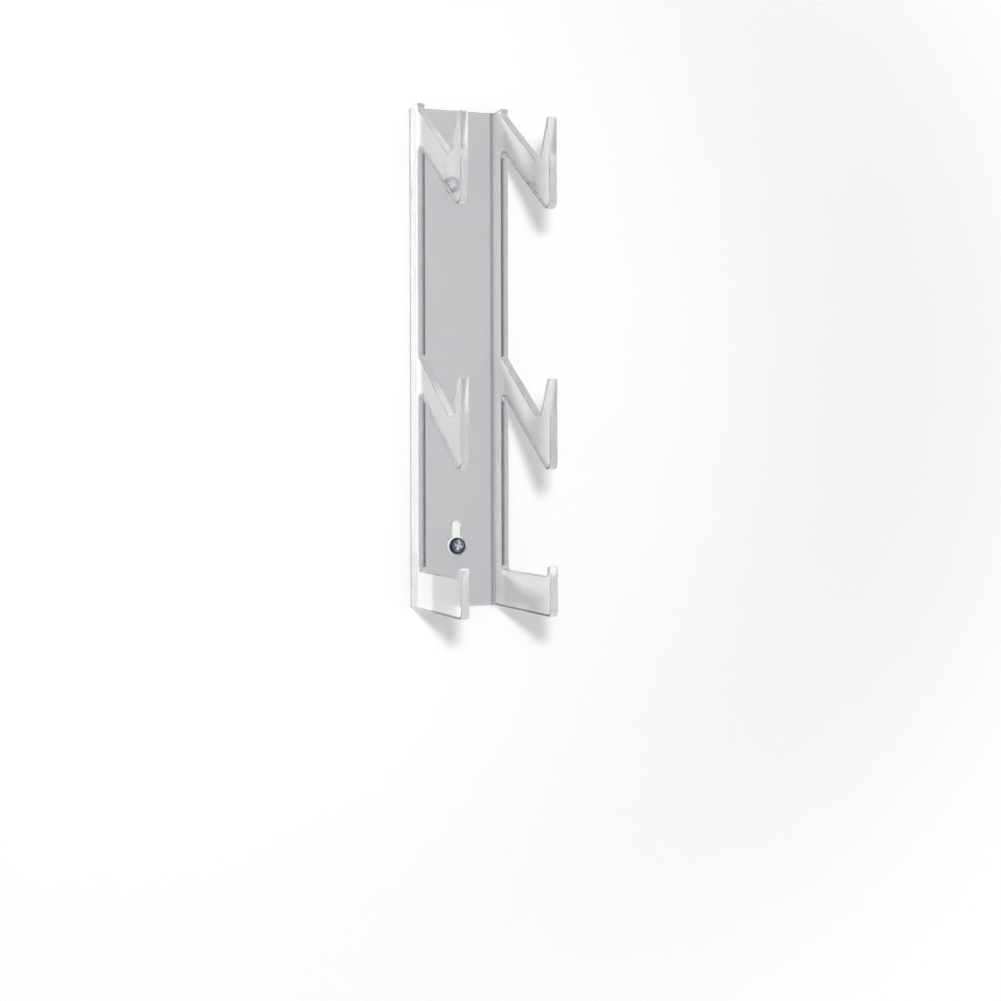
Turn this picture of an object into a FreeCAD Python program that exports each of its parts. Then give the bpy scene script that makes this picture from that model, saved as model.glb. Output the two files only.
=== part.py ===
import FreeCAD, Part
import math
import os

import Sketcher

# A wall mount with two pairs of notched hooks over a lipped seat, in millimetres.
# One clear moulding: a U-shaped channel, 242 high, whose two side walls grow forward into three pairs
# of arms. The lower pair is a flat seat with a lip, and the two pairs above it are hooks, each a strut
# that falls forward to a rounded tip, and a prong that rises from it behind a rounded V notch.
# Two wall screws stand in the round ends of the two keyholes in the back panel.
# The lower hooks and lower screw are placed from the bottom edge, the upper ones from the top edge.
# Slopes are drops and rises per unit forward or up. Cuts run past the faces they open by OVERRUN.
# +X runs across the mount, +Y into the wall and +Z up. The origin is the middle of the back face.

SIZES = {
    # channel
    "overall_width": 46.0,
    "overall_height": 242.0,
    "side_wall": 3.7,
    "back_panel": 2.5,
    "channel_depth": 13.5,
    "inside_radius": 1.4,
    # arms, measured forward from the wall and up from the bottom edge
    "arm_reach": 78.0,
    "seat_height": 18.0,
    "lip_height": 4.8,
    "lip_width": 3.8,
    "hook_height": 107.6,
    "top_margin": 16.4,
    "prong_top": 3.1,
    "prong_slope": 0.57,
    "notch_depth": 19.2,
    "strut_slope": 0.64,
    "strut_height": 16.1,
    # roundings of the arms
    "tip_radius": 4.0,
    "notch_radius": 5.0,
    "root_radius": 3.0,
    "lip_radius": 2.6,
    "corner_radius": 3.0,
    "top_radius": 1.2,
    # keyholes and the screws in them
    "lower_screw": 29.5,
    "upper_screw": 36.5,
    "head_radius": 4.0,
    "head_height": 2.6,
    "head_rim": 0.6,
    "shank_radius": 2.0,
    "shank_length": 25.0,
    "point_length": 4.0,
    "recess_width": 0.9,
    "recess_reach": 2.1,
    "recess_depth": 1.5,
    "round_clearance": 0.9,
    "slot_clearance": 0.25,
    "slot_rise": 10.2,
    "head_gap": 0.3,
}

HOOK_COUNT = 2
OVERRUN = 1.0
SCREWS = ("lower_screw", "upper_screw")

doc = FreeCAD.newDocument("wall_mount")
sheet = doc.addObject("Spreadsheet::Sheet", "sizes")


class Size:
    """A length that carries its number and the sheet formula that gives it."""

    def __init__(self, number, formula):
        self.number = number
        self.formula = formula

    @staticmethod
    def of(value):
        return value if isinstance(value, Size) else Size(float(value), repr(float(value)))

    def __add__(self, other):
        other = Size.of(other)
        return Size(self.number + other.number, f"({self.formula} + {other.formula})")

    def __sub__(self, other):
        other = Size.of(other)
        return Size(self.number - other.number, f"({self.formula} - {other.formula})")

    def __mul__(self, other):
        other = Size.of(other)
        return Size(self.number * other.number, f"({self.formula} * {other.formula})")

    def __truediv__(self, other):
        other = Size.of(other)
        return Size(self.number / other.number, f"({self.formula} / {other.formula})")

    def __neg__(self):
        return Size(-self.number, f"(-1 * {self.formula})")

    def root(self):
        return Size(math.sqrt(self.number), f"sqrt({self.formula})")


def fill_sheet():
    for row, (name, number) in enumerate(SIZES.items(), start=1):
        sheet.set(f"A{row}", name)
        sheet.set(f"B{row}", str(number))
        sheet.setAlias(f"B{row}", name)
    doc.recompute()


def size(name):
    return Size(SIZES[name], f"sizes.{name}")


def new_body(name):
    body = doc.addObject("PartDesign::Body", name)
    body.Label = name
    return body


def plane(body, role):
    return next(item for item in body.Origin.OriginFeatures if item.Role == role)


def new_sketch(body, name, role, offset=None):
    """A sketch on one of the body's origin planes, moved along the plane's normal by offset."""
    sketch = body.newObject("Sketcher::SketchObject", name)
    sketch.AttachmentSupport = [(plane(body, role), "")]
    sketch.MapMode = "FlatFace"
    if offset is not None:
        sketch.setExpression("AttachmentOffset.Base.z", offset.formula)
    return sketch


def pin_point(sketch, geometry, end, across, up):
    """Holds one end of a line or arc at a place given by two sizes."""
    for kind, value in (("DistanceX", across), ("DistanceY", up)):
        index = sketch.addConstraint(Sketcher.Constraint(kind, -1, 1, geometry, end, value.number))
        sketch.setExpression(f"Constraints[{index}]", value.formula)


def polygon(sketch, corners):
    """A closed outline of straight edges, each corner held by two sizes."""
    flat = [FreeCAD.Vector(across.number, up.number, 0) for across, up in corners]
    edges = [
        sketch.addGeometry(Part.LineSegment(flat[i], flat[(i + 1) % len(flat)]), False)
        for i in range(len(flat))
    ]
    for i, edge in enumerate(edges):
        sketch.addConstraint(Sketcher.Constraint("Coincident", edge, 2, edges[(i + 1) % len(edges)], 1))
        pin_point(sketch, edge, 1, *corners[i])


def pad(body, sketch, name, length, both_ways=False):
    feature = body.newObject("PartDesign::Pad", name)
    feature.Profile = sketch
    feature.SideType = "Symmetric" if both_ways else "One side"
    feature.setExpression("Length", length.formula)
    return feature


def cut_away(body, sketch, name, length, reverse=False, both_ways=False):
    """A pocket, checked to have taken something off the body."""
    doc.recompute()
    before = body.Shape.Volume
    feature = body.newObject("PartDesign::Pocket", name)
    feature.Profile = sketch
    feature.SideType = "Symmetric" if both_ways else "One side"
    feature.Reversed = reverse
    feature.setExpression("Length", length.formula)
    doc.recompute()
    if body.Shape.Volume >= before:
        raise RuntimeError(f"{name} cuts nothing")
    return feature


def edges_along(shape, direction, points):
    """Names of the straight edges along a direction whose line passes through one of the points."""
    names = []
    for number, edge in enumerate(shape.Edges, start=1):
        if edge.Curve.TypeId != "Part::GeomLine":
            continue
        if edge.Curve.Direction.cross(direction).Length > 1e-6:
            continue
        start = edge.Vertexes[0].Point
        if any((point - start).cross(direction).Length < 1e-4 for point in points):
            names.append(f"Edge{number}")
    return names


def round_edges(body, name, direction, points, radius):
    doc.recompute()
    base = body.Tip
    names = edges_along(base.Shape, direction, points)
    if len(names) < len(points):
        raise RuntimeError(f"{name} finds {len(names)} edges for {len(points)} corners")
    feature = body.newObject("PartDesign::Fillet", name)
    feature.Base = (base, names)
    feature.setExpression("Radius", radius.formula)
    return feature


def hook_corners(hook):
    """The sharp corners of one hook, from the underside of its strut round to the top of its root."""
    root = size("channel_depth")
    front = size("arm_reach")
    pitch = (size("overall_height") - size("top_margin") - size("hook_height")) / (HOOK_COUNT - 1)
    top = size("hook_height") + pitch * hook - size("overall_height") / 2
    notch_low = top - size("notch_depth")
    notch_at = front - size("prong_top") - size("prong_slope") * size("notch_depth")
    root_high = notch_low + size("strut_slope") * (notch_at - root)
    root_low = root_high - size("strut_height")
    return {
        "root_low": (root, root_low),
        "tip": (front, root_low - size("strut_slope") * (front - root)),
        "prong_front": (front, top),
        "prong_back": (front - size("prong_top"), top),
        "notch": (notch_at, notch_low),
        "root_high": (root, root_high),
    }


def seat_corners():
    """The sharp corners of the lower arm, from its front bottom corner round to its root."""
    bottom = -size("overall_height") / 2
    root = size("channel_depth")
    front = size("arm_reach")
    seat = bottom + size("seat_height")
    lip = seat + size("lip_height")
    return {
        "front_bottom": (front, bottom),
        "lip_front": (front, lip),
        "lip_back": (front - size("lip_width"), lip),
        "lip_foot": (front - size("lip_width"), seat),
        "seat_root": (root, seat),
    }


def along_x(corner):
    """The place in the side view of an edge that runs across the mount."""
    forward, up = corner
    return FreeCAD.Vector(0, -forward.number, up.number)


def wall_bracket():
    body = new_body("wall_bracket")
    half_height = size("overall_height") / 2
    hooks = [hook_corners(hook) for hook in range(HOOK_COUNT)]
    seat = seat_corners()

    # The side view of channel and arms, as one outline through the full width
    outline = [(Size.of(0), -half_height), *seat.values()]
    for hook in hooks:
        outline += hook.values()
    outline += [(size("channel_depth"), half_height), (Size.of(0), half_height)]
    side = new_sketch(body, "side_outline", "YZ_Plane")
    polygon(side, [(-forward, up) for forward, up in outline])
    pad(body, side, "side_block", size("overall_width"), both_ways=True)

    # Roundings of the arms, while each corner is still one edge
    across = FreeCAD.Vector(1, 0, 0)
    roots = [seat["seat_root"]]
    tops = [seat["lip_front"], seat["lip_back"]]
    for hook in hooks:
        roots += [hook["root_low"], hook["root_high"]]
        tops += [hook["prong_front"], hook["prong_back"]]
    for name, corners, radius in (
        ("root_rounding", roots, "root_radius"),
        ("tip_rounding", [hook["tip"] for hook in hooks], "tip_radius"),
        ("notch_rounding", [hook["notch"] for hook in hooks], "notch_radius"),
        ("top_rounding", tops, "top_radius"),
        ("lip_rounding", [seat["lip_foot"]], "lip_radius"),
        ("corner_rounding", [seat["front_bottom"]], "corner_radius"),
    ):
        round_edges(body, name, across, [along_x(corner) for corner in corners], size(radius))

    # The space between the two side walls, open at the front, top and bottom
    inside = size("overall_width") / 2 - size("side_wall")
    opening = new_sketch(body, "channel_section", "XY_Plane")
    front = -size("arm_reach") - OVERRUN
    back = -size("back_panel")
    polygon(opening, [(-inside, front), (inside, front), (inside, back), (-inside, back)])
    cut_away(body, opening, "channel_space", size("overall_height") + 2 * OVERRUN, both_ways=True)
    inner_corners = [
        FreeCAD.Vector(side_of * inside.number, -SIZES["back_panel"], 0) for side_of in (-1, 1)
    ]
    up_axis = FreeCAD.Vector(0, 0, 1)
    round_edges(body, "inside_rounding", up_axis, inner_corners, size("inside_radius"))

    for name in SCREWS:
        keyhole(body, name)
    doc.recompute()
    return body


def screw_height(name):
    end = size("overall_height") / 2
    return size(name) - end if name == "lower_screw" else end - size(name)


def keyhole(body, screw):
    """A round end that the screw's head passes and, above it, a slot for its shank."""
    centre = screw_height(screw)
    round_end = size("head_radius") + size("round_clearance")
    half_slot = size("shank_radius") + size("slot_clearance")
    shoulder = centre + (round_end * round_end - half_slot * half_slot).root()
    slot_end = centre + size("slot_rise")

    outline = new_sketch(body, f"{screw}_keyhole_outline", "XZ_Plane")
    sides = []
    for side_of, bottom, top in ((half_slot, shoulder, slot_end), (-half_slot, slot_end, shoulder)):
        ends = [FreeCAD.Vector(side_of.number, up.number, 0) for up in (bottom, top)]
        side = outline.addGeometry(Part.LineSegment(*ends), False)
        pin_point(outline, side, 1, side_of, bottom)
        pin_point(outline, side, 2, side_of, top)
        sides.append(side)
    right, left = sides
    slope = math.atan2((shoulder - centre).number, half_slot.number)
    arc(outline, slot_end, half_slot, (0, math.pi), (right, 2), (left, 1))
    arc(outline, centre, round_end, (math.pi - slope, 2 * math.pi + slope), (left, 2), (right, 1))
    cut_away(body, outline, f"{screw}_keyhole", (size("back_panel") + OVERRUN) * 2, both_ways=True)


def arc(sketch, up, radius, turns, start, end):
    """An arc about a centre on the middle line, from one side's end to the other's."""
    centre = FreeCAD.Vector(0, up.number, 0)
    ring = Part.Circle(centre, FreeCAD.Vector(0, 0, 1), radius.number)
    bow = sketch.addGeometry(Part.ArcOfCircle(ring, *turns), False)
    sketch.addConstraint(Sketcher.Constraint("Coincident", bow, 1, *start))
    sketch.addConstraint(Sketcher.Constraint("Coincident", bow, 2, *end))
    index = sketch.addConstraint(Sketcher.Constraint("DistanceY", -1, 1, bow, 3, up.number))
    sketch.setExpression(f"Constraints[{index}]", up.formula)


def wall_screw(name):
    """A pan-head screw, turned about its own Y axis with the head's underside at the origin."""
    body = new_body(name)
    head = size("head_radius")
    rise = size("head_height")
    shank = size("shank_radius")
    length = size("shank_length")

    # Half section: the head's domed side is an arc from its rim to its crown
    section = new_sketch(body, f"{name}_section", "XY_Plane")
    rim = size("head_rim")
    crown = (Size.of(0), -rise)
    corners = [
        crown,
        (Size.of(0), length),
        (shank, length - size("point_length")),
        (shank, Size.of(0)),
        (head, Size.of(0)),
        (head, -rim),
    ]
    flat = [FreeCAD.Vector(across.number, up.number, 0) for across, up in corners]
    lines = [
        section.addGeometry(Part.LineSegment(flat[i], flat[i + 1]), False)
        for i in range(len(flat) - 1)
    ]
    dome_height = rise - rim
    dome_radius = (head * head + dome_height * dome_height) / (dome_height * 2)
    centre = FreeCAD.Vector(0, -rise.number + dome_radius.number, 0)
    turn = math.atan2(-rim.number - centre.y, head.number)
    dome_circle = Part.Circle(centre, FreeCAD.Vector(0, 0, 1), dome_radius.number)
    dome = section.addGeometry(Part.ArcOfCircle(dome_circle, -math.pi / 2, turn), False)
    for i, line in enumerate(lines):
        pin_point(section, line, 1, *corners[i])
        if i:
            section.addConstraint(Sketcher.Constraint("Coincident", lines[i - 1], 2, line, 1))
    pin_point(section, lines[-1], 2, *corners[-1])
    section.addConstraint(Sketcher.Constraint("Coincident", dome, 2, lines[-1], 2))
    section.addConstraint(Sketcher.Constraint("Coincident", dome, 1, lines[0], 1))
    index = section.addConstraint(Sketcher.Constraint("Radius", dome, dome_radius.number))
    section.setExpression(f"Constraints[{index}]", dome_radius.formula)
    turned = body.newObject("PartDesign::Revolution", f"{name}_turned")
    turned.Profile = section
    turned.ReferenceAxis = (section, ["V_Axis"])
    turned.Angle = 360.0

    # Cross recess, two slots at right angles sunk from the crown
    reach = size("recess_reach")
    half = size("recess_width") / 2
    for slot, (wide, tall) in {"level": (reach, half), "upright": (half, reach)}.items():
        cross = new_sketch(body, f"{name}_{slot}_recess", "XZ_Plane", offset=rise - size("recess_depth"))
        polygon(cross, [(-wide, -tall), (wide, -tall), (wide, tall), (-wide, tall)])
        cut_away(body, cross, f"{name}_{slot}_slot", rise, reverse=True)

    # The head stands just clear of the panel's front face
    underside = -(size("back_panel") + size("head_gap"))
    body.setExpression("Placement.Base.y", underside.formula)
    body.setExpression("Placement.Base.z", screw_height(name).formula)
    doc.recompute()
    return body


def check_and_write(bodies):
    doc.recompute()
    failed = [item.Name for item in doc.Objects if {"Invalid", "Error"} & set(item.State)]
    if failed:
        raise RuntimeError("failed objects: " + ", ".join(failed))
    for body in bodies:
        shape = body.Shape
        if shape.isNull() or not shape.isValid() or len(shape.Solids) != 1:
            raise RuntimeError(f"{body.Label} is not one valid solid")
    os.makedirs("parts", exist_ok=True)
    for body in bodies:
        body.Shape.exportStep(os.path.join("parts", f"{body.Label}.step"))
        box = body.Shape.BoundBox
        print(f"{body.Label}: {box.XLength:.1f} x {box.YLength:.1f} x {box.ZLength:.1f} mm")


fill_sheet()
check_and_write([wall_bracket()] + [wall_screw(name) for name in SCREWS])
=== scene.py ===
import math

import bpy
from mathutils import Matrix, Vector


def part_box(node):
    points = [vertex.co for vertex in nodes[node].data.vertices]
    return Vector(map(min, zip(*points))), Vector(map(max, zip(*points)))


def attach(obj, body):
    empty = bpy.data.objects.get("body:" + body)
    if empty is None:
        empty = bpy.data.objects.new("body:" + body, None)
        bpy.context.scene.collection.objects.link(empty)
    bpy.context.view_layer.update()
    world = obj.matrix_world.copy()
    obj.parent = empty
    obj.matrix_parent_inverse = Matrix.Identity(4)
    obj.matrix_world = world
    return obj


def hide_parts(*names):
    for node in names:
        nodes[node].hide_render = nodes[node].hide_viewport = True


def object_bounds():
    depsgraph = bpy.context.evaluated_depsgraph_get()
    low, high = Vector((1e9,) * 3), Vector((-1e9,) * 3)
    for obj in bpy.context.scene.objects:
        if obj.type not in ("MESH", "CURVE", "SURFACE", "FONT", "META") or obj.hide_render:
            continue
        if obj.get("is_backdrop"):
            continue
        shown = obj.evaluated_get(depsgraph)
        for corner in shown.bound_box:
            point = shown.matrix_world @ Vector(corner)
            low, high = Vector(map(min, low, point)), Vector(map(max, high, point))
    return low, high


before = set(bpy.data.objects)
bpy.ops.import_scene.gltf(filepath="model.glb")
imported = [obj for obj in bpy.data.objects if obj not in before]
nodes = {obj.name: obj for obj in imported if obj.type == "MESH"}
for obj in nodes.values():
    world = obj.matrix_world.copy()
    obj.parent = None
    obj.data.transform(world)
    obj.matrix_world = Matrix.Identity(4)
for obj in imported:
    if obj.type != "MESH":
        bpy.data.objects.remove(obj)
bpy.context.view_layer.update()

# A clear wall mount with two pairs of notched hooks over a lipped seat, held by two wall screws.
# Lengths are in metres: +X across the mount, +Y into the wall, +Z up, and y = 0 is the wall's face.
MM = 0.001
PICTURE = 1001

# The moulding, as its solid has it
HALF_WIDTH = 23.0 * MM
INNER_FACE = 19.3 * MM
PANEL_FRONT = -2.5 * MM
FLANGE_FRONT = -13.5 * MM
# Where the low arms begin, downwards, and the middles of the prongs above the notches
SEAT_ARMS = (-92 * MM, -96 * MM)
PRONG_MIDDLES = (-21.5 * MM, 96.5 * MM)

scene = bpy.context.scene
scene.view_settings.view_transform = "Standard"
scene.cycles.max_bounces = 48
scene.cycles.transmission_bounces = 48
scene.cycles.glossy_bounces = 16
scene.cycles.transparent_max_bounces = 16


# ---------------------------------------------------------------- modelling helpers

def in_edit_mode(piece):
    """Starts editing one piece, with nothing selected in it."""
    if bpy.context.object and bpy.context.object.mode != "OBJECT":
        bpy.ops.object.mode_set(mode="OBJECT")
    bpy.ops.object.select_all(action="DESELECT")
    bpy.context.view_layer.objects.active = piece
    piece.select_set(True)
    bpy.ops.object.mode_set(mode="EDIT")
    bpy.ops.mesh.select_all(action="DESELECT")


def out_of_edit_mode():
    bpy.ops.object.mode_set(mode="OBJECT")


def pick_faces(piece, test):
    """Selects the faces for which the test holds. The piece is in edit mode before and after."""
    bpy.ops.object.mode_set(mode="OBJECT")
    mesh = piece.data
    for group in (mesh.vertices, mesh.edges, mesh.polygons):
        group.foreach_set("select", [False] * len(group))
    for face in mesh.polygons:
        face.select = bool(test(face))
    bpy.ops.object.mode_set(mode="EDIT")


def settle(piece):
    """Leaves the piece at the origin, unturned and unscaled, with its place in its mesh."""
    bpy.ops.object.select_all(action="DESELECT")
    bpy.context.view_layer.objects.active = piece
    piece.select_set(True)
    bpy.ops.object.transform_apply(location=True, rotation=True, scale=True)


def apply_modifier(piece, kind, **values):
    bpy.context.view_layer.objects.active = piece
    modifier = piece.modifiers.new(kind.title(), kind)
    for name, value in values.items():
        setattr(modifier, name, value)
    bpy.ops.object.modifier_apply(modifier=modifier.name)


# ---------------------------------------------------------------- the clear moulding

RIM = 0.8 * MM
EDGE_ROUND = 0.3 * MM
SIDE_FACE_AREA = 1500 * MM * MM
FLANGE_TOP = 110 * MM


def clear_moulding():
    """The moulding with polished, slightly rounded edges, and a narrow rim inside its side faces that
    carries a painted shade line.
    """
    node = nodes["wall_bracket"]
    bpy.ops.object.select_all(action="DESELECT")
    bpy.context.view_layer.objects.active = node
    node.select_set(True)
    bpy.ops.object.duplicate()
    piece = bpy.context.object
    piece.name = piece.data.name = "clear_moulding"
    for key in list(piece.keys()):
        del piece[key]

    # One clean face for each flat side
    in_edit_mode(piece)
    bpy.ops.mesh.select_all(action="SELECT")
    bpy.ops.mesh.remove_doubles(threshold=0.001 * MM)
    bpy.ops.mesh.customdata_custom_splitnormals_clear()
    bpy.ops.mesh.dissolve_limited(angle_limit=math.radians(0.4))
    out_of_edit_mode()
    apply_modifier(
        piece,
        "BEVEL",
        width=EDGE_ROUND,
        segments=3,
        limit_method="ANGLE",
        angle_limit=math.radians(28),
        harden_normals=True,
        loop_slide=False,
        use_clamp_overlap=False,
    )

    # A narrow rim along the outline of each side face
    in_edit_mode(piece)
    pick_faces(piece, is_side_face)
    bpy.ops.mesh.inset(thickness=RIM, use_even_offset=True, use_individual=True)
    out_of_edit_mode()
    mark_undersides(piece)
    mark_faces(piece, "cut_edge", is_cut_edge)
    mark_faces(piece, "flange_front", is_flange_front)
    return piece


def is_side_face(face):
    return abs(face.normal.x) > 0.999 and face.area > SIDE_FACE_AREA


def mark_undersides(piece):
    """Stores on each point of a side face's outline how far the edge there faces down."""
    mesh = piece.data
    inner = set()
    for face in mesh.polygons:
        if is_side_face(face):
            inner.update(face.vertices)
    down = [0.0] * len(mesh.vertices)
    for edge in mesh.edges:
        ends = sorted(edge.vertices, key=lambda index: index in inner)
        if ends[0] in inner or ends[1] not in inner:
            continue
        outward = mesh.vertices[ends[0]].co - mesh.vertices[ends[1]].co
        down[ends[0]] = max(0.0, -outward.normalized().z)
    layer = mesh.attributes.new("underside", "FLOAT", "POINT")
    layer.data.foreach_set("value", down)


def mark_faces(piece, name, test):
    """Stores on each face whether the test holds for it."""
    mesh = piece.data
    layer = mesh.attributes.new(name, "FLOAT", "FACE")
    layer.data.foreach_set("value", [1.0 if test(face) else 0.0 for face in mesh.polygons])


def is_cut_edge(face):
    """The saw-cut edges that run round the side faces."""
    in_front = face.center.y < FLANGE_FRONT + 0.1 * MM
    return abs(face.normal.x) < 0.1 and (in_front or abs(face.normal.z) > 0.9)


def is_flange_front(face):
    """The fronts of the two flanges between the arms, with their rounded edges."""
    level = abs(face.center.y - FLANGE_FRONT) < EDGE_ROUND + 0.02 * MM
    upright = abs(face.normal.x) < 0.98 and abs(face.normal.z) < 0.3
    return level and upright and face.center.z < FLANGE_TOP


# ---------------------------------------------------------------- the wall screws

SCREW_SIDES = 48
HEAD_RADIUS = 4.0 * MM
HEAD_HEIGHT = 2.6 * MM
HEAD_RIM = 0.8 * MM
CORE_RADIUS = 1.45 * MM
THREAD_RADIUS = 1.98 * MM
SHANK_LENGTH = 25.0 * MM
POINT_LENGTH = 4.0 * MM
THREAD_PITCH = 1.5 * MM
THREAD_RUN = 20.5 * MM
THREAD_END = 1.5 * MM
THREAD_THINNING = 2.2 * MM
STEPS_PER_TURN = 28
CROSS_HALF = 0.68 * MM
CROSS_REACH = 2.8 * MM
CROSS_TURN = math.radians(-17)


def grown_rings(name, rings):
    """A round body about the Y axis: a ring that is extruded and resized from one place to the next."""
    start_y, start_radius = rings[0]
    bpy.ops.mesh.primitive_circle_add(
        vertices=SCREW_SIDES,
        radius=start_radius,
        fill_type="NGON",
        location=(0, start_y, 0),
        rotation=(math.radians(90), 0, 0),
    )
    piece = bpy.context.object
    piece.name = piece.data.name = name
    settle(piece)
    bpy.ops.object.mode_set(mode="EDIT")
    bpy.ops.mesh.select_all(action="SELECT")
    y, radius = start_y, start_radius
    for next_y, next_radius in rings[1:]:
        bpy.ops.mesh.extrude_region_move(TRANSFORM_OT_translate={"value": (0, next_y - y, 0)})
        share = next_radius / radius
        bpy.ops.transform.resize(value=(share, 1, share), center_override=(0, next_y, 0))
        y, radius = next_y, next_radius
    bpy.ops.mesh.select_all(action="SELECT")
    bpy.ops.mesh.normals_make_consistent(inside=False)
    out_of_edit_mode()
    return piece


def dome_face(radius):
    """Where the domed front of the head lies at a distance from its middle."""
    rise = HEAD_HEIGHT - HEAD_RIM
    ball = (HEAD_RADIUS**2 + rise**2) / (2 * rise)
    return -HEAD_HEIGHT + ball - math.sqrt(ball**2 - min(radius, HEAD_RADIUS) ** 2)


def in_recess(face):
    """The faces of the cross recess, under the dome."""
    radius = math.hypot(face.center.x, face.center.z)
    return radius < CROSS_REACH and dome_face(radius) + 0.04 * MM < face.center.y < -0.3 * MM


def screw_body():
    """The head, neck, core and point, as rings from the crown to the tip."""
    rings = [(-HEAD_HEIGHT, 0.4 * MM)]
    for radius in (1.0, 1.6, 2.2, 2.7, 3.1, 3.4, 3.65, 3.85):
        rings.append((dome_face(radius * MM), radius * MM))
    rings += [
        (-HEAD_RIM + 0.02 * MM, 3.96 * MM),
        (-HEAD_RIM + 0.12 * MM, HEAD_RADIUS),
        (-0.1 * MM, HEAD_RADIUS),
        (0.0, 3.9 * MM),
        (0.0, 2.1 * MM),
        (0.25 * MM, 1.75 * MM),
        (0.8 * MM, 1.7 * MM),
        (2.6 * MM, 1.7 * MM),
        (3.2 * MM, CORE_RADIUS),
        (SHANK_LENGTH - POINT_LENGTH, CORE_RADIUS),
        (SHANK_LENGTH - 1.2 * MM, 0.5 * MM),
        (SHANK_LENGTH - 0.02 * MM, 0.04 * MM),
    ]
    return grown_rings("screw_body", rings)


def thread():
    """The thread as one ridge wound round the core, which thins out at both ends."""
    turns = THREAD_RUN / THREAD_PITCH
    bpy.ops.mesh.primitive_circle_add(
        vertices=3, radius=0.45 * MM, fill_type="NOTHING", location=(CORE_RADIUS, 0, 0)
    )
    ridge = bpy.context.object
    ridge.name = ridge.data.name = "screw_thread"
    settle(ridge)
    crest = ((0.0, 1.0), (0.55, -0.25), (-0.55, -0.25))
    for point, (along, out) in zip(ridge.data.vertices, crest):
        point.co = (CORE_RADIUS + out * (THREAD_RADIUS - CORE_RADIUS), along * MM, 0)
    apply_modifier(
        ridge,
        "SCREW",
        axis="Y",
        angle=math.tau * turns,
        screw_offset=THREAD_RUN,
        iterations=1,
        steps=round(STEPS_PER_TURN * turns),
        render_steps=round(STEPS_PER_TURN * turns),
        use_smooth_shade=False,
    )
    low = min(point.co.y for point in ridge.data.vertices)
    start = SHANK_LENGTH - THREAD_RUN - THREAD_END
    for point in ridge.data.vertices:
        point.co.y += start - low
        along = point.co.y
        thin_start = min(1.0, max(0.0, (along - start) / THREAD_THINNING))
        core = CORE_RADIUS
        if along > SHANK_LENGTH - POINT_LENGTH:
            core = CORE_RADIUS * max(0.05, (SHANK_LENGTH - along) / POINT_LENGTH)
        outward = math.hypot(point.co.x, point.co.z)
        lift = (outward - CORE_RADIUS) * thin_start
        target = max(core + lift * (0.35 + 0.65 * core / CORE_RADIUS), 0.02 * MM)
        point.co.x *= target / outward
        point.co.z *= target / outward
    in_edit_mode(ridge)
    bpy.ops.mesh.select_mode(type="EDGE")
    bpy.ops.mesh.select_non_manifold()
    bpy.ops.mesh.fill()
    bpy.ops.mesh.select_all(action="SELECT")
    bpy.ops.mesh.normals_make_consistent(inside=False)
    out_of_edit_mode()
    return ridge


def cross_cutter():
    """A tapering cross: a block with its four sides drawn out, and its bottom end drawn in."""
    bpy.ops.mesh.primitive_cube_add(size=2 * CROSS_HALF, location=(0, 0, 0))
    cutter = bpy.context.object
    settle(cutter)
    for axis, side in ((0, -1), (0, 1), (2, -1), (2, 1)):
        bpy.ops.object.mode_set(mode="EDIT")
        pick_faces(
            cutter,
            lambda face: face.normal[axis] * side > 0.99
            and abs(face.center[axis] * side - CROSS_HALF) < 1e-6
            and abs(face.center[2 - axis]) < 1e-6,
        )
        move = [0.0, 0.0, 0.0]
        move[axis] = side * (CROSS_REACH - CROSS_HALF)
        bpy.ops.mesh.extrude_region_move(TRANSFORM_OT_translate={"value": move})
        out_of_edit_mode()
    # Wider in front of the head, and drawn in at its bottom, which slopes up to the four ends
    top, bottom = -(HEAD_HEIGHT + 1.0 * MM), -(HEAD_HEIGHT - 1.9 * MM)
    for point in cutter.data.vertices:
        deep = point.co.y > 0
        point.co.y = bottom if deep else top
        taper = 0.34 if deep else 1.24
        for axis in (0, 2):
            away = abs(point.co[axis]) > 1.2 * CROSS_HALF
            point.co[axis] *= taper if away else (0.72 if deep else 1.06)
        if deep:
            far = max(abs(point.co.x), abs(point.co.z))
            point.co.y -= 0.5 * MM * min(1.0, far / (0.7 * MM))
    return cutter


def wall_screw():
    """A cross-recessed wall screw whose head's underside is at y = 0."""
    body = screw_body()
    cutter = cross_cutter()
    apply_modifier(body, "BOOLEAN", operation="DIFFERENCE", object=cutter, solver="EXACT")
    bpy.data.objects.remove(cutter)
    ridge = thread()
    bpy.ops.object.select_all(action="DESELECT")
    ridge.select_set(True)
    body.select_set(True)
    bpy.context.view_layer.objects.active = body
    bpy.ops.object.join()
    bpy.ops.transform.rotate(value=CROSS_TURN, orient_axis="Y", center_override=(0, 0, 0))
    settle(body)
    bpy.ops.object.shade_smooth_by_angle(angle=math.radians(32))
    mark_faces(body, "recess", in_recess)
    return body


# ---------------------------------------------------------------- materials

CLEAR_TINT = (0.985, 0.99, 0.995)
# Painted shade: the tint of the arms' outer side faces where they are seen from within
FAR_SIDE_SHADE_TINT = (0.72, 0.725, 0.735)
# Painted shade: the tint of the dark lines in the acrylic's edges
PAINTED_SHADE_TINT = (0.08, 0.085, 0.095)
# Painted glow: the emission colour of faces that glow though they are no lamp
PAINTED_GLOW_COLOUR = (0.34, 0.34, 0.34)
# How strong the painted shade lines and the painted glow in the acrylic are
CORNER_SHADE_STRENGTH = 0.75
BACK_SHADE_STRENGTH = 0.82
SEAT_PAINTED_GLOW = 0.8
FRONT_PAINTED_GLOW = 0.38
# How rough its polished faces are, and how much more its cut edges and its panel
POLISH = (0.03, 0.07)
CUT_SATIN = 0.3
PANEL_SATIN = 0.12
# What the first wall on a lamp's way lets through
LIGHT_SHARE = (0.72, 0.72, 0.73)
ARM_LIGHT_SHARE = (0.57, 0.57, 0.58)

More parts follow.
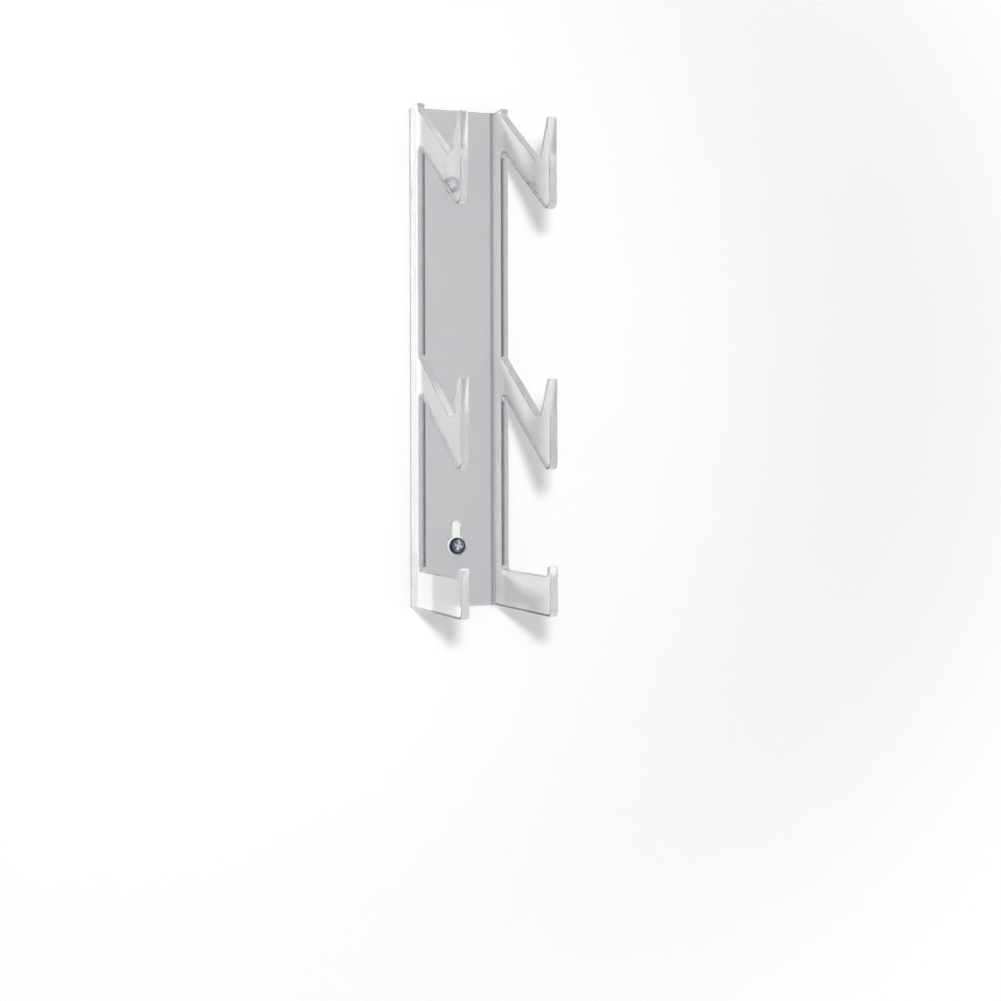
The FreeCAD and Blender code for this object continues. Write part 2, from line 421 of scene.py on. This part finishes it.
HEAD_TINT = (0.25, 0.27, 0.31)
# Painted shade at the rim of the head, and a painted highlight in its cross recess
HEAD_RIM_SHADE = (0.035, 0.045, 0.07)
RECESS_HIGHLIGHT = (0.88, 0.87, 0.93)
SHANK_TINT = (0.52, 0.54, 0.58)


def new_group(name, inputs, outputs):
    """A shader node group with number sockets, and its input and output nodes."""
    group = bpy.data.node_groups.new(name, "ShaderNodeTree")
    for label, start in inputs:
        socket = group.interface.new_socket(label, in_out="INPUT", socket_type="NodeSocketFloat")
        socket.default_value = start
    for label in outputs:
        group.interface.new_socket(label, in_out="OUTPUT", socket_type="NodeSocketFloat")
    return group, group.nodes.new("NodeGroupInput"), group.nodes.new("NodeGroupOutput")


def math_node(tree, operation, first, second=None, third=None):
    node = tree.nodes.new("ShaderNodeMath")
    node.operation = operation
    for socket, value in zip(node.inputs, (first, second, third)):
        if value is None:
            continue
        if isinstance(value, (int, float)):
            socket.default_value = value
        else:
            tree.links.new(value, socket)
    return node.outputs[0]


def product(tree, first, *others):
    for other in others:
        first = math_node(tree, "MULTIPLY", first, other)
    return first


def largest(tree, first, *others):
    for other in others:
        first = math_node(tree, "MAXIMUM", first, other)
    return first


def rest_of(tree, value):
    """What is left of 1."""
    return math_node(tree, "SUBTRACT", 1.0, value)


def ramp(tree, value, start, end, low=0.0, high=1.0):
    """A soft step from low at one value to high at another."""
    node = tree.nodes.new("ShaderNodeMapRange")
    node.interpolation_type = "SMOOTHSTEP"
    tree.links.new(value, node.inputs["Value"])
    for name, number in (("From Min", start), ("From Max", end), ("To Min", low), ("To Max", high)):
        node.inputs[name].default_value = number
    return node.outputs[0]


def band_group():
    """A soft band: 1 within a half width of a centre line, fading to 0 over a softness."""
    group, given, result = new_group(
        "soft_band",
        [("Value", 0.0), ("Centre", 0.0), ("Half width", 1.0), ("Softness", 1.0)],
        ["Band"],
    )
    value, centre, half_width, softness = list(given.outputs)[:4]
    away = math_node(group, "ABSOLUTE", math_node(group, "SUBTRACT", value, centre))
    share = math_node(group, "DIVIDE", math_node(group, "SUBTRACT", away, half_width), softness)
    group.links.new(ramp(group, share, 0.0, 1.0, 1.0, 0.0), result.inputs[0])
    return group


BAND = band_group()


def band(tree, value, centre, half_width, softness):
    node = tree.nodes.new("ShaderNodeGroup")
    node.node_tree = BAND
    tree.links.new(value, node.inputs["Value"])
    node.inputs["Centre"].default_value = centre
    node.inputs["Half width"].default_value = half_width
    node.inputs["Softness"].default_value = softness
    return node.outputs["Band"]


def named_value(tree, name):
    """A value that is stored on the piece's own points or faces."""
    node = tree.nodes.new("ShaderNodeAttribute")
    node.attribute_name = name
    return node.outputs["Fac"]


def new_material(name):
    """A material with its tree, its shader, and the place on the object, whole and by axis."""
    made = bpy.data.materials.new(name)
    made.use_nodes = True
    tree = made.node_tree
    shader = next(node for node in tree.nodes if node.type == "BSDF_PRINCIPLED")
    place = tree.nodes.new("ShaderNodeTexCoord").outputs["Object"]
    apart = tree.nodes.new("ShaderNodeSeparateXYZ")
    tree.links.new(place, apart.inputs[0])
    return made, tree, shader, place, apart.outputs


def show(tree, surface):
    output = next(node for node in tree.nodes if node.type == "OUTPUT_MATERIAL")
    tree.links.new(surface, output.inputs["Surface"])


def mix_colour(tree, share, first, second):
    node = tree.nodes.new("ShaderNodeMix")
    node.data_type = "RGBA"
    sockets = [socket for socket in node.inputs if socket.enabled]
    for socket, value in zip(sockets, (share, first, second)):
        if isinstance(value, (int, float)):
            socket.default_value = value
        elif isinstance(value, tuple):
            socket.default_value = (*value, 1.0)
        else:
            tree.links.new(value, socket)
    return next(socket for socket in node.outputs if socket.enabled)


def mix_shaders(tree, share, first, second):
    node = tree.nodes.new("ShaderNodeMixShader")
    for socket, value in zip(node.inputs, (share, first, second)):
        tree.links.new(value, socket)
    return node.outputs[0]


def polished_acrylic():
    """Clear acrylic with painted shade lines in its edges and a painted glow in its outer side faces."""
    made, tree, shader, place, (x, y, z) = new_material("polished_acrylic")
    shader.inputs["Transmission Weight"].default_value = 1.0
    shader.inputs["IOR"].default_value = 1.49
    across = math_node(tree, "ABSOLUTE", x)
    front_side = rest_of(tree, tree.nodes.new("ShaderNodeNewGeometry").outputs["Backfacing"])
    outer = ramp(tree, across, HALF_WIDTH - 0.15 * MM, HALF_WIDTH - 0.02 * MM)
    cut = named_value(tree, "cut_edge")

    # Painted shade: a dark line inside the cut front of each flange, darkest at its inner edge,
    painted_flange_shade = product(tree, named_value(tree, "flange_front"), ramp(tree, across, 21.6 * MM, 19.9 * MM))
    # a softer painted shade where the panel turns into the side walls,
    painted_corner_shade = product(
        tree,
        band(tree, across, INNER_FACE - 1.0 * MM, 0.3 * MM, 0.9 * MM),
        band(tree, y, PANEL_FRONT - 0.4 * MM, 0.5 * MM, 0.6 * MM),
        CORNER_SHADE_STRENGTH,
    )
    # and other painted shade lines inside the lower edges of the arms and along the back edge of the outer
    # faces
    painted_under_shade = ramp(tree, named_value(tree, "underside"), 0.2, 0.45)
    painted_back_shade = product(tree, outer, ramp(tree, y, -2.4 * MM, -1.2 * MM), front_side, BACK_SHADE_STRENGTH)
    # Painted shade: seen from within, the outer side faces of the arms are a little darker
    past_flange = ramp(tree, y, FLANGE_FRONT + 0.5 * MM, FLANGE_FRONT - 2.5 * MM)
    painted_far_side_shade = product(tree, outer, rest_of(tree, front_side), past_flange)
    tint = mix_colour(tree, painted_far_side_shade, CLEAR_TINT, FAR_SIDE_SHADE_TINT)
    # All the painted shade lines darken the acrylic's tint
    dark = largest(tree, painted_flange_shade, painted_corner_shade, painted_under_shade, painted_back_shade)
    tree.links.new(mix_colour(tree, dark, tint, PAINTED_SHADE_TINT), shader.inputs["Base Color"])

    # Painted glow, an emission and no lamp: the outer side faces glow near the wall, 17 mm further on the
    # low arms
    on_seat = ramp(tree, z, *SEAT_ARMS)
    depth = math_node(tree, "ADD", y, product(tree, on_seat, 17 * MM))
    near_wall = ramp(tree, depth, -23 * MM, -14 * MM)
    near_wall = product(tree, near_wall, ramp(tree, z, *SEAT_ARMS, 1.0, SEAT_PAINTED_GLOW))
    painted_side_glow = product(tree, outer, near_wall, front_side, rest_of(tree, painted_back_shade))
    # The cut fronts of the arms get a little of the painted glow too, but not the prongs above the notches
    painted_front_glow = product(tree, cut, front_side, FRONT_PAINTED_GLOW, ramp(tree, y, -70 * MM, -76 * MM))
    for middle in PRONG_MIDDLES:
        painted_front_glow = product(tree, painted_front_glow, rest_of(tree, band(tree, z, middle, 8.5 * MM, 2.0 * MM)))
    glow = math_node(tree, "ADD", painted_side_glow, painted_front_glow)
    tree.links.new(mix_colour(tree, glow, (0.0, 0.0, 0.0), PAINTED_GLOW_COLOUR), shader.inputs["Emission Color"])
    shader.inputs["Emission Strength"].default_value = 1.0

    # The cut edges and the panel are satin, the other faces polished
    wear = tree.nodes.new("ShaderNodeTexNoise")
    wear.inputs["Scale"].default_value = 60.0
    tree.links.new(place, wear.inputs["Vector"])
    polished = ramp(tree, wear.outputs["Fac"], 0.3, 0.7, *POLISH)
    on_panel = product(
        tree, ramp(tree, across, 18.4 * MM, 18.0 * MM), ramp(tree, y, -3.0 * MM, -2.6 * MM), PANEL_SATIN
    )
    satin = math_node(tree, "ADD", product(tree, cut, CUT_SATIN), on_panel)
    tree.links.new(math_node(tree, "ADD", polished, satin), shader.inputs["Roughness"])

    # Lamps and the wall's own light pass straight through, and only the first wall they meet
    # takes a share, so the shadow stays light and even
    rays = tree.nodes.new("ShaderNodeLightPath").outputs
    through = tree.nodes.new("ShaderNodeBsdfTransparent")
    first_wall = math_node(tree, "LESS_THAN", rays["Transparent Depth"], 1.5)
    on_arms = ramp(tree, y, FLANGE_FRONT - 0.5 * MM, FLANGE_FRONT - 2.5 * MM)
    share = mix_colour(tree, on_arms, LIGHT_SHARE, ARM_LIGHT_SHARE)
    tree.links.new(mix_colour(tree, first_wall, (1.0, 1.0, 1.0), share), through.inputs["Color"])
    surface = shader.outputs[0]
    for ray in ("Is Diffuse Ray", "Is Shadow Ray"):
        surface = mix_shaders(tree, rays[ray], surface, through.outputs[0])
    show(tree, surface)
    return made


def screw_steel(name, centre):
    """Plated steel with a dark, blued head, painted shade at its rim, a painted highlight in its recess,
    and turning marks.
    """
    made, tree, shader, place, _ = new_material(name)
    shader.inputs["Metallic"].default_value = 1.0
    moved = tree.nodes.new("ShaderNodeMapping")
    moved.inputs["Location"].default_value = tuple(-c for c in centre)
    tree.links.new(place, moved.inputs["Vector"])
    apart = tree.nodes.new("ShaderNodeSeparateXYZ")
    tree.links.new(moved.outputs[0], apart.inputs[0])
    across, along, up = apart.outputs
    squares = [math_node(tree, "POWER", distance, 2.0) for distance in (across, up)]
    radius = math_node(tree, "SQRT", math_node(tree, "ADD", *squares))

    on_head = band(tree, along, -HEAD_HEIGHT / 2, HEAD_HEIGHT / 2, 0.2 * MM)
    # The dome darkens towards its rim, a painted shade, and its recess is pale, a painted highlight
    dome = mix_colour(tree, ramp(tree, radius, 2.4 * MM, 3.5 * MM), HEAD_TINT, HEAD_RIM_SHADE)
    head = mix_colour(tree, named_value(tree, "recess"), dome, RECESS_HIGHLIGHT)
    tree.links.new(mix_colour(tree, on_head, SHANK_TINT, head), shader.inputs["Base Color"])

    wear = tree.nodes.new("ShaderNodeTexNoise")
    wear.inputs["Scale"].default_value = 900.0
    wear.inputs["Detail"].default_value = 3.0
    tree.links.new(moved.outputs[0], wear.inputs["Vector"])
    rough = tree.nodes.new("ShaderNodeMapRange")
    rough.inputs["To Min"].default_value = 0.18
    rough.inputs["To Max"].default_value = 0.42
    tree.links.new(wear.outputs["Fac"], rough.inputs["Value"])
    tree.links.new(rough.outputs[0], shader.inputs["Roughness"])

    marks = tree.nodes.new("ShaderNodeTexWave")
    marks.wave_type = "RINGS"
    marks.rings_direction = "Y"
    marks.inputs["Scale"].default_value = 1800.0
    marks.inputs["Distortion"].default_value = 1.0
    tree.links.new(moved.outputs[0], marks.inputs["Vector"])
    bump = tree.nodes.new("ShaderNodeBump")
    bump.inputs["Strength"].default_value = 0.15
    bump.inputs["Distance"].default_value = 0.03 * MM
    tree.links.new(marks.outputs["Fac"], bump.inputs["Height"])
    tree.links.new(bump.outputs[0], shader.inputs["Normal"])
    return made


# ---------------------------------------------------------------- the pieces, in place

acrylic = polished_acrylic()
moulding = clear_moulding()
moulding.data.materials.clear()
moulding.data.materials.append(acrylic)
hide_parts("wall_bracket")
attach(moulding, "root")

first_screw = wall_screw()
for name in ("lower_screw", "upper_screw"):
    low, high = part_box(name)
    centre = Vector(((low.x + high.x) / 2, high.y - SHANK_LENGTH, (low.z + high.z) / 2))
    screw = first_screw.copy()
    screw.data = first_screw.data.copy()
    scene.collection.objects.link(screw)
    screw.name = screw.data.name = name.replace("screw", "wall_screw")
    screw.location = centre
    settle(screw)
    screw.data.materials.clear()
    screw.data.materials.append(screw_steel(f"{name}_steel", centre))
    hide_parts(name)
    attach(screw, "root")
bpy.data.objects.remove(first_screw)


# ---------------------------------------------------------------- wall, floor, light and camera

PLANE_SIDE = 8
WHITE_FROM, WHITE_PAST = 170 * MM, 420 * MM


def stage_plane(name, place, turn, pale):
    """A pale plane that is seen from its front only, and that turns plain white far from the object."""
    bpy.ops.mesh.primitive_plane_add(size=PLANE_SIDE, location=place, rotation=turn)
    plane = bpy.context.object
    plane.name = name
    made, tree, shader, spot, _ = new_material(name)
    shader.inputs["Base Color"].default_value = (pale, pale, pale, 1.0)
    shader.inputs["Roughness"].default_value = 0.9
    away = tree.nodes.new("ShaderNodeVectorMath")
    away.operation = "LENGTH"
    tree.links.new(spot, away.inputs[0])
    far = ramp(tree, away.outputs["Value"], WHITE_FROM, WHITE_PAST)
    eye = tree.nodes.new("ShaderNodeLightPath").outputs["Is Camera Ray"]
    white = tree.nodes.new("ShaderNodeEmission")
    surface = mix_shaders(tree, product(tree, far, eye), shader.outputs[0], white.outputs[0])
    back = tree.nodes.new("ShaderNodeNewGeometry").outputs["Backfacing"]
    nothing = tree.nodes.new("ShaderNodeBsdfTransparent").outputs[0]
    show(tree, mix_shaders(tree, back, surface, nothing))
    plane.data.materials.append(made)
    plane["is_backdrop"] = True


stage_plane("wall", (0, 0.4 * MM, 0), (math.radians(90), 0, 0), 0.95)
stage_plane("floor", (0, 0, -600 * MM), (0, 0, 0), 0.9)

# The room as it is mirrored, and as the other kinds of ray meet it: plain white behind the
# object, a little less in the acrylic, and soft as a light
ROOM_MIRRORED = 0.65
ROOM_BY_RAY = {"Is Camera Ray": 1.0, "Is Transmission Ray": 0.85, "Is Diffuse Ray": 0.4}

world = bpy.data.worlds.new("studio")
scene.world = world
world.use_nodes = True
room = world.node_tree
rays = room.nodes.new("ShaderNodeLightPath").outputs
strength = ROOM_MIRRORED
for ray, level in ROOM_BY_RAY.items():
    strength = math_node(room, "MULTIPLY_ADD", rays[ray], level - ROOM_MIRRORED, strength)
background = room.nodes["Background"]
background.inputs["Color"].default_value = (1.0, 1.0, 1.0, 1.0)
room.links.new(strength, background.inputs["Strength"])


def soft_lamp(name, place, power, size):
    """A round lamp that is aimed at the middle of the object's back."""
    data = bpy.data.lights.new(name, "AREA")
    data.shape = "DISK"
    data.size = size
    data.energy = power
    lamp = bpy.data.objects.new(name, data)
    lamp.location = place
    lamp.rotation_euler = (-Vector(place)).to_track_quat("-Z", "Y").to_euler()
    scene.collection.objects.link(lamp)
    return lamp


# The key lamp throws the shadow, and the other lamp only glints on edges and steel
key = soft_lamp("key_lamp", (-213 * MM, -800 * MM, 67 * MM), 4.8, 78 * MM)
key.visible_glossy = False
key.visible_transmission = False
glint = soft_lamp("glint_lamp", (400 * MM, -520 * MM, 740 * MM), 2.0, 240 * MM)
glint.visible_diffuse = False
glint.visible_transmission = False

# The view of the photo: level, and a little below the middle of the object
FOCAL_PIXELS = 1678.5
HORIZON_ROW = 470.16
camera_data = bpy.data.cameras.new("view_of_photo")
camera_data.sensor_width = 36.0
camera_data.lens = FOCAL_PIXELS * 36.0 / PICTURE
camera_data.shift_y = (HORIZON_ROW - PICTURE / 2) / PICTURE
camera = bpy.data.objects.new("view_of_photo", camera_data)
camera.location = (-256.92 * MM, -781.48 * MM, -54.65 * MM)
camera.rotation_euler = (math.radians(90), math.radians(0.149), math.radians(-19.744))
scene.collection.objects.link(camera)
scene.camera = camera

low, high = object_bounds()
